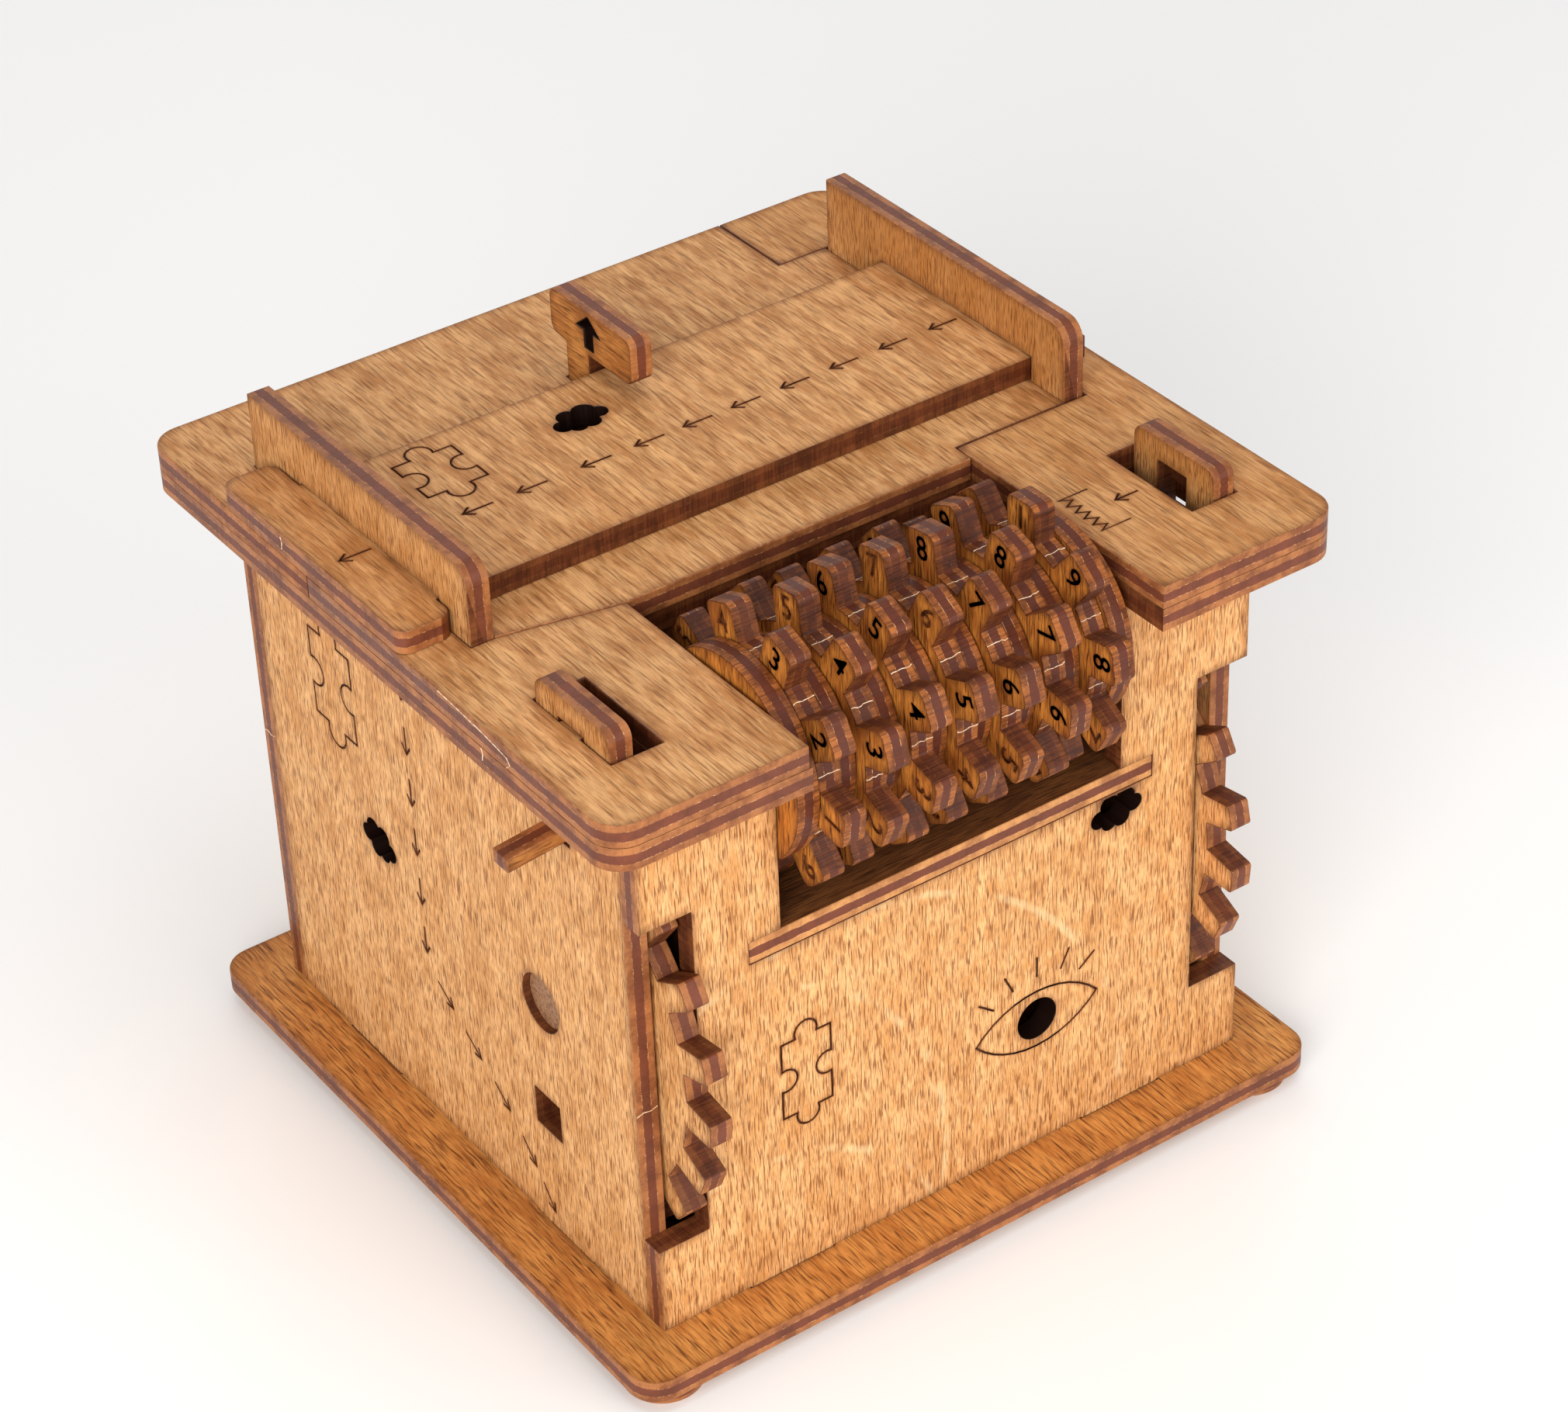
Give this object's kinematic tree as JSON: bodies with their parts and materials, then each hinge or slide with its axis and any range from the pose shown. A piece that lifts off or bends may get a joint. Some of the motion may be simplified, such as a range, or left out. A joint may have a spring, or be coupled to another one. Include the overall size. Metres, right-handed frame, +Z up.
{
  "type": "puzzle box",
  "caption": "Plywood puzzle box with a row of turning code rings, thumb wheels at the front, a sliding lid, a lock pin, a push rod and sliding corner plates.",
  "frame": {"origin": "under the middle of the whole part, on the plane the feet stand on", "axes": "+X to the right along the front wall, +Y from the front wall to the back wall, +Z up"},
  "size_m": [0.1024, 0.1016, 0.0968],
  "materials": {
    "outer_ply": "stained three-ply board with burnt cut edges, satin",
    "inner_ply": "unfinished three-ply board",
    "disc_ply": "three-ply discs with dark burnt rims",
    "dowel": "plain turned dowel",
    "foot_ply": "small dark ply discs"
  },
  "bodies": {
    "case": {"base_plate": "outer_ply", "foot_front_left": "foot_ply", "foot_front_right": "foot_ply", "foot_back_left": "foot_ply", "foot_back_right": "foot_ply", "front_wall": "outer_ply", "back_wall": "outer_ply", "left_wall": "outer_ply", "right_wall": "outer_ply", "drum_shelf": "inner_ply", "partition_left": "inner_ply", "partition_right": "inner_ply", "cross_wall": "inner_ply", "drum_axle": "dowel", "drum_collar_left": "dowel", "drum_end_left": "disc_ply", "drum_end_right": "disc_ply", "drum_collar_right": "dowel", "wheel_axle_left": "dowel", "wheel_axle_right": "dowel", "wheel_spacer_left": "dowel", "wheel_spacer_right": "dowel", "top_lower": "outer_ply", "top_deck": "outer_ply"},
    "lid": {"sliding_lid": "outer_ply"},
    "pin": {"lock_pin": "outer_ply", "lock_pin_key": "outer_ply"},
    "left_wheel": {"thumb_wheel_left": "disc_ply"},
    "right_wheel": {"thumb_wheel_right": "disc_ply"},
    "left_plate": {"corner_plate_left": "outer_ply"},
    "right_plate": {"corner_plate_right": "outer_ply"},
    "rod": {"push_rod": "outer_ply"},
    "ring_1": {"code_disc_1": "disc_ply", "spacer_disc_1": "disc_ply"},
    "ring_2": {"code_disc_2": "disc_ply", "spacer_disc_2": "disc_ply"},
    "ring_3": {"code_disc_3": "disc_ply", "spacer_disc_3": "disc_ply"},
    "ring_4": {"code_disc_4": "disc_ply", "spacer_disc_4": "disc_ply"},
    "ring_5": {"code_disc_5": "disc_ply", "spacer_disc_5": "disc_ply"},
    "ring_6": {"code_disc_6": "disc_ply", "spacer_disc_6": "disc_ply"},
    "ring_7": {"code_disc_7": "disc_ply"}
  },
  "joints": [
    {"name": "lid_slide", "type": "slide", "parent": "case", "child": "lid", "axis": [-1, 0, 0], "range_m": [0, 0.06]},
    {"name": "pin_lift", "type": "slide", "parent": "case", "child": "pin", "axis": [0, 0, 1], "range_m": [0, 0.008]},
    {"name": "rod_push", "type": "slide", "parent": "case", "child": "rod", "axis": [1, 0, 0], "range_m": [0, 0.005]},
    {"name": "left_plate_slide", "type": "slide", "parent": "case", "child": "left_plate", "axis": [-1, 0, 0], "range_m": [0, 0.0032]},
    {"name": "right_plate_slide", "type": "slide", "parent": "case", "child": "right_plate", "axis": [1, 0, 0], "range_m": [0, 0.0032]},
    {"name": "left_wheel_spin", "type": "hinge", "parent": "case", "child": "left_wheel", "pos_m": [-0.03805, -0.02002, 0.04], "axis": [1, 0, 0], "continuous": true},
    {"name": "right_wheel_spin", "type": "hinge", "parent": "case", "child": "right_wheel", "pos_m": [0.03815, -0.02002, 0.04], "axis": [1, 0, 0], "continuous": true},
    {"name": "ring_1_spin", "type": "hinge", "parent": "case", "child": "ring_1", "pos_m": [-0.01795, -0.03362, 0.0748], "axis": [1, 0, 0], "continuous": true},
    {"name": "ring_2_spin", "type": "hinge", "parent": "case", "child": "ring_2", "pos_m": [-0.01165, -0.03362, 0.0748], "axis": [1, 0, 0], "continuous": true},
    {"name": "ring_3_spin", "type": "hinge", "parent": "case", "child": "ring_3", "pos_m": [-0.00535, -0.03362, 0.0748], "axis": [1, 0, 0], "continuous": true},
    {"name": "ring_4_spin", "type": "hinge", "parent": "case", "child": "ring_4", "pos_m": [0.00095, -0.03362, 0.0748], "axis": [1, 0, 0], "continuous": true},
    {"name": "ring_5_spin", "type": "hinge", "parent": "case", "child": "ring_5", "pos_m": [0.00725, -0.03362, 0.0748], "axis": [1, 0, 0], "continuous": true},
    {"name": "ring_6_spin", "type": "hinge", "parent": "case", "child": "ring_6", "pos_m": [0.01355, -0.03362, 0.0748], "axis": [1, 0, 0], "continuous": true},
    {"name": "ring_7_spin", "type": "hinge", "parent": "case", "child": "ring_7", "pos_m": [0.01985, -0.03362, 0.0748], "axis": [1, 0, 0], "continuous": true}
  ]
}
